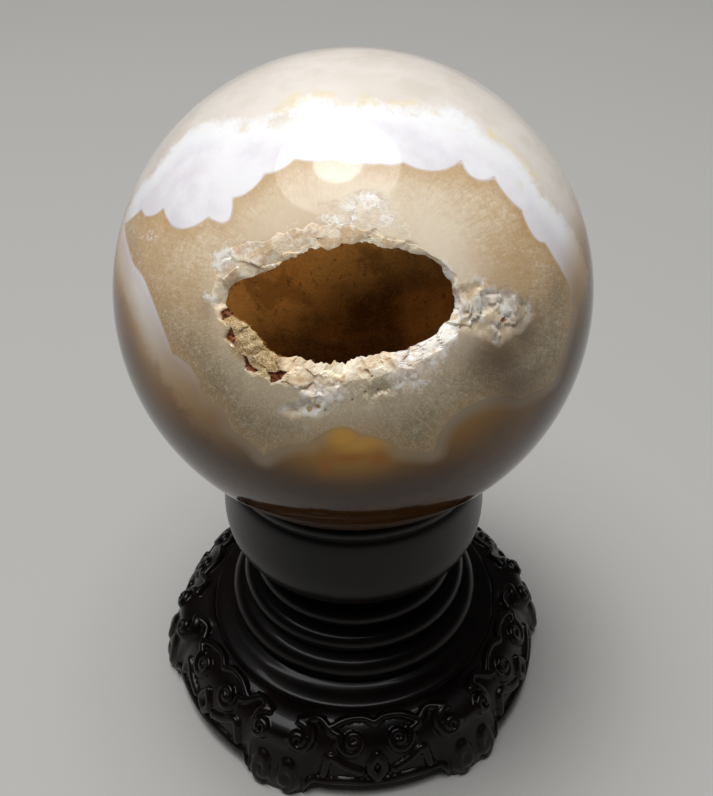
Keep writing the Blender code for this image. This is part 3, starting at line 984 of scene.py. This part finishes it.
    def small_spots(self, colour):
        """Adds the cream places, dark specks with pale painted glints, the golden places and the rust
        brown chips.
        """
        peach = self.shades(self.ramp(self.speckle, 0.3, 0.6), "F2D9B4", "FDF0DB")
        colour = self.mix(self.grainy("cream", 0.5, 0.3, 0.7), colour, peach)
        # Dark specks and pale painted glints in the crumbly places
        specks_and_glints = self.ramp(self.noise(1300, 3, 0.7), 0.54, 0.6)
        specks_and_glints = self.share(specks_and_glints, self.ramp(self.number("crumbly"), 0.1, 0.6))
        grains = self.shades(self.ramp(self.dust, 0.42, 0.5), "7D7048", "F1EACB")
        colour = self.mix(self.share(specks_and_glints, 0.8), colour, grains)
        golden = self.shades(self.ramp(self.grain, 0.4, 0.62), "9A7845", "C3A673")
        golden = self.layered(golden, ("F2E6CC", self.ramp(self.noise(5200, 2, 0.6), 0.52, 0.62), 0.7))
        colour = self.mix(self.grainy("gold", 0.5, 0.3, 0.7), colour, golden)
        rust = self.shades(self.ramp(self.grain, 0.4, 0.6), "522410", "A86238")
        stain = self.ramp(self.off_axis, STAIN_OFF_AXIS, STAIN_OFF_AXIS + 2)
        rust = self.layered(rust, ("C08A66", stain, 1.0))
        return self.mix(self.grainy("past_chip", 0.7, 0.08, -0.08), colour, rust)

    def build(self):
        rim = self.share(self.grainy("broken", 0.3, 0.02, 0.12), self.ramp(self.broken, 0, 0.01))
        spotted = self.number("sugar")
        sugar = self.ramp(self.uneven(spotted, self.noise(900, 5, 0.8), 2.2), 0.4, 1.0)
        sugar = self.share(sugar, self.ramp(spotted, 0.08, 0.35))
        patch_edge = self.uneven(self.number("past_patch"), self.noise(500, 4, 0.7), 3.0)
        in_patch = self.ramp(patch_edge, 1.0, -0.8)
        pits = self.grainy("pits", 0.6, 0.62, 0.85)
        inside = self.ramp(self.broken, 1.02, 1.14)
        colour = self.mix(self.share(rim, 0.9), self.polished_stone(), self.rim_crystal())
        colour = self.mix(sugar, colour, self.sugar_crystal())
        colour = self.mix(self.share(in_patch, 0.92), colour, self.patch_plates())
        # Painted shade over the patch's lower part
        colour = self.layered(colour, ("7A6C5C", in_patch, self.share(self.painted_shade, 0.85)))
        colour = self.layered(self.small_spots(colour), ("5B4A33", pits, 0.8), ("6A4218", inside, 1.0))
        rough = self.share(in_patch, 0.8)
        for value in (rim, self.share(sugar, 0.5), pits, inside):
            rough = self.maths("MAXIMUM", rough, value)
        inputs = {"Value": rough, "To Min": 0.07, "To Max": 0.6}
        relief = self.total(self.share(self.grain, 0.5), self.share(self.cell, 0.4))
        relief = self.total(self.share(self.dust, 0.6), relief, self.share(self.crumb, 0.4))
        return self.surface({
            "Base Color": colour,
            "Roughness": self.add("ShaderNodeMapRange", inputs).outputs["Result"],
            "Normal": self.bump(self.share(relief, rough), 0.0003, 0.5),
            "IOR": QUARTZ_IOR, "Specular IOR Level": 0.28, "Subsurface Weight": 0.4,
            "Subsurface Radius": (1.0, 0.85, 0.7), "Subsurface Scale": 0.0012,
        })


def crust_finish():
    f = Finish("amber quartz crust")
    # Painted light: the crust is paler amber where more light comes through the stone
    lit = f.ramp(f.uneven(f.number("lit_side"), f.noise(70, 5, 0.65), 0.6), 0.0, 1.0)
    colour = f.layered(
        f.shades(lit, "4E2C10", "DCA555"),
        ("3E2009", f.ramp(f.noise(95, 4, 0.6, distortion=0.8), 0.5, 0.64), 0.42),
        ("B9772F", f.ramp(f.noise(48, 3, 0.5), 0.54, 0.68), 0.3),
        ("3A2008", f.ramp(f.noise(700, 3, 0.6), 0.60, 0.68), 0.5),
    )
    # A slight glow stands for the light that comes through the stone
    return f.surface({
        "Base Color": colour, "Emission Color": colour, "Emission Strength": 0.14,
        "Roughness": 0.35, "IOR": QUARTZ_IOR,
    })


def lacquer_finish():
    f = Finish("dark lacquered wood")
    along = f.noise(70, 5, 0.6, f.stretched(f.place, (1.0, 1.0, 0.12)), 0.4)
    colour = f.shades(f.ramp(along, 0.35, 0.7), "070403", "130A07")
    return f.surface({
        "Base Color": colour, "Roughness": 0.32, "Specular IOR Level": 0.15, "Coat Weight": 0.15,
        "Coat Roughness": 0.08, "Normal": f.bump(f.noise(260, 2), 0.0002, 0.2),
    })


def floor_finish():
    return Finish("pale floor").surface({"Base Color": linear("AFAEAB"), "Roughness": 0.7})


# The camera, as fitted to the ball's outline and the turntable's grooves
CAMERA_TURN = math.radians(5)
CAMERA_PLACE = (0.0137 * BALL_RADIUS, -3.599 * BALL_RADIUS, 4.646 * BALL_RADIUS)
CAMERA_PITCH = math.radians(39.0)
FOCAL_PIXELS = 1000
PICTURE_HEIGHT = 796
SENSOR = 36

# The lamp overhead: a wide soft disc with a brighter middle
LAMP_DISTANCE = 1.60
LAMP_LEAN = (-0.10, 0.02)
WIDE_LAMP = (1.41, 25.5)
CORE_LAMP = (0.507, 7.8)
ROOM_GLOW = (0.0, 0.3, 0.26, 0.04)


def turned_about_axis(x, y):
    c, s = math.cos(CAMERA_TURN), math.sin(CAMERA_TURN)
    return x * c - y * s, x * s + y * c


def use_plain_colours():
    bpy.context.scene.view_settings.view_transform = "Standard"


def add_camera():
    data = bpy.data.cameras.new("camera")
    data.sensor_width = SENSOR
    data.lens = SENSOR * FOCAL_PIXELS / PICTURE_HEIGHT
    data.clip_start = 0.01
    camera = bpy.data.objects.new("camera", data)
    x, y, z = CAMERA_PLACE
    camera.location = (*turned_about_axis(x, y), z)
    camera.rotation_euler = (math.pi / 2 - CAMERA_PITCH, 0, CAMERA_TURN)
    bpy.context.scene.collection.objects.link(camera)
    bpy.context.scene.camera = camera


def add_lamp(name, size, power, nearer=0.0):
    data = bpy.data.lights.new(name, "AREA")
    data.shape = "DISK"
    data.size = size
    data.energy = power
    lamp = bpy.data.objects.new(name, data)
    towards = Vector((*turned_about_axis(*LAMP_LEAN), 1)).normalized()
    lamp.location = Vector(BALL_CENTRE) + towards * (LAMP_DISTANCE - nearer)
    lamp.rotation_euler = towards.to_track_quat("Z", "Y").to_euler()
    bpy.context.scene.collection.objects.link(lamp)


def add_stage():
    floor = make_mesh("floor", np.array([(-2, -2, 0), (2, -2, 0), (2, 2, 0), (-2, 2, 0)]), [[0, 1, 2, 3]])
    floor.data.materials.append(floor_finish())
    world = bpy.data.worlds.new("studio")
    world.use_nodes = True
    nodes, links = world.node_tree.nodes, world.node_tree.links
    nodes["Background"].inputs["Color"].default_value = (1, 0.98, 0.95, 1)
    # The room is paler near the floor than overhead
    rise = nodes.new("ShaderNodeSeparateXYZ")
    links.new(nodes.new("ShaderNodeTexCoord").outputs["Generated"], rise.inputs[0])
    glow = nodes.new("ShaderNodeMapRange")
    links.new(rise.outputs["Z"], glow.inputs["Value"])
    for name, value in zip(("From Min", "From Max", "To Min", "To Max"), ROOM_GLOW):
        glow.inputs[name].default_value = value
    links.new(glow.outputs["Result"], nodes["Background"].inputs["Strength"])
    bpy.context.scene.world = world
    add_lamp("wide lamp", *WIDE_LAMP)
    add_lamp("lamp core", *CORE_LAMP, nearer=0.01)


def add_piece(obj, material, node):
    obj.data.materials.append(material)
    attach(obj, "root")
    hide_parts(node)


add_piece(agate_ball(), Agate().build(), "agate_ball")
add_piece(crystal_crust(), crust_finish(), "crystal_crust")
add_piece(wood_stand(), lacquer_finish(), "wood_stand")
add_stage()
use_plain_colours()
add_camera()
